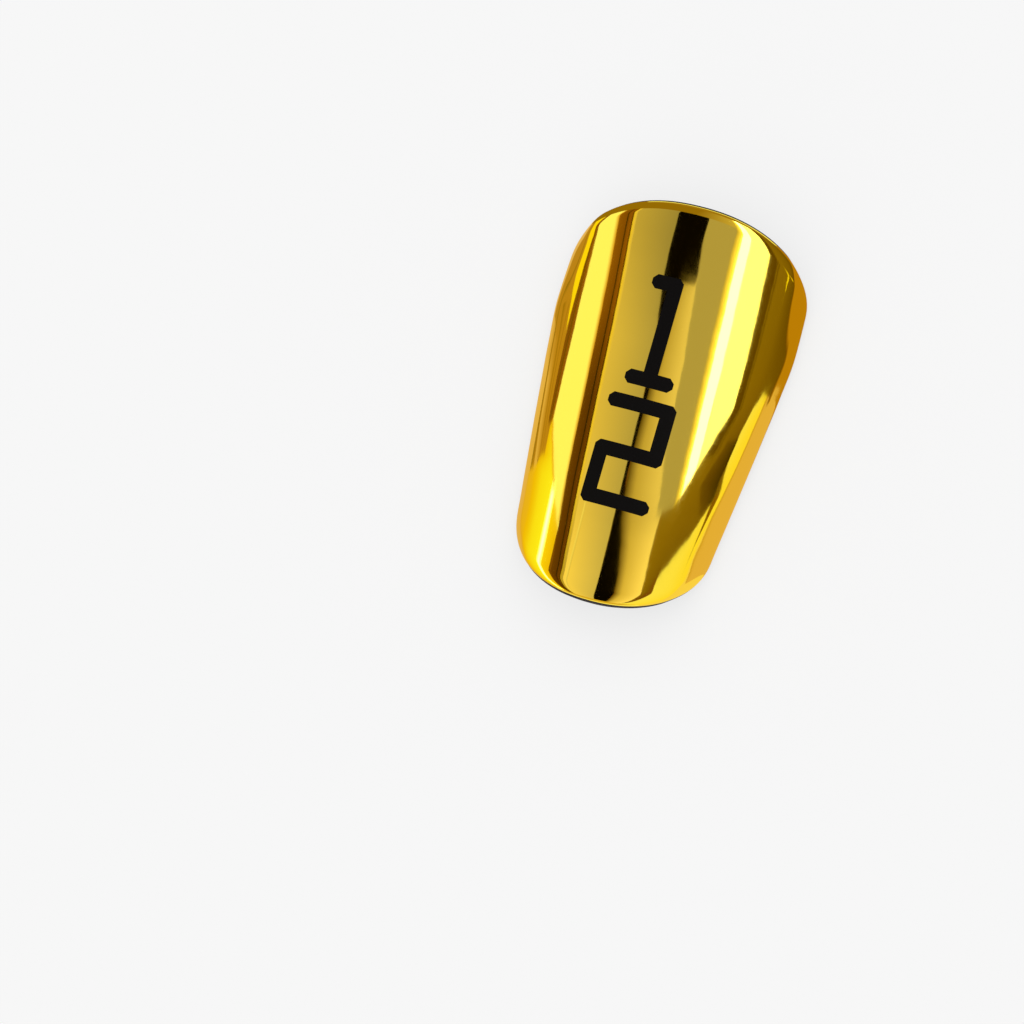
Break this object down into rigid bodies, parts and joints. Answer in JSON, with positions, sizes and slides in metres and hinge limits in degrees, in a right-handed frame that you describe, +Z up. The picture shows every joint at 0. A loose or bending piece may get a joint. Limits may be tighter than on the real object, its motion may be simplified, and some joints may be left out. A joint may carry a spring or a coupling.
{
  "type": "shin pad",
  "caption": "Curved hard-shell shin pad with a soft crease and a steep wing down each side, a rounded rim and a soft foam backing, lying crest up.",
  "frame": {"origin": "On the ground, below the middle of the pad, which lies crest up on the flat of its two long edges", "axes": "+Z up out of the crest, +Y along the pad to its wide knee end, +X across the pad"},
  "size_m": [0.111, 0.1818, 0.0352],
  "materials": {
    "shell_plating": "mirror-bright golden plating on hard plastic",
    "backing_foam": "matt closed-cell foam",
    "print_ink": "satin black print"
  },
  "bodies": {
    "root": {"hard_shell": "shell_plating", "foam_backing": "backing_foam"}
  },
  "joints": []
}
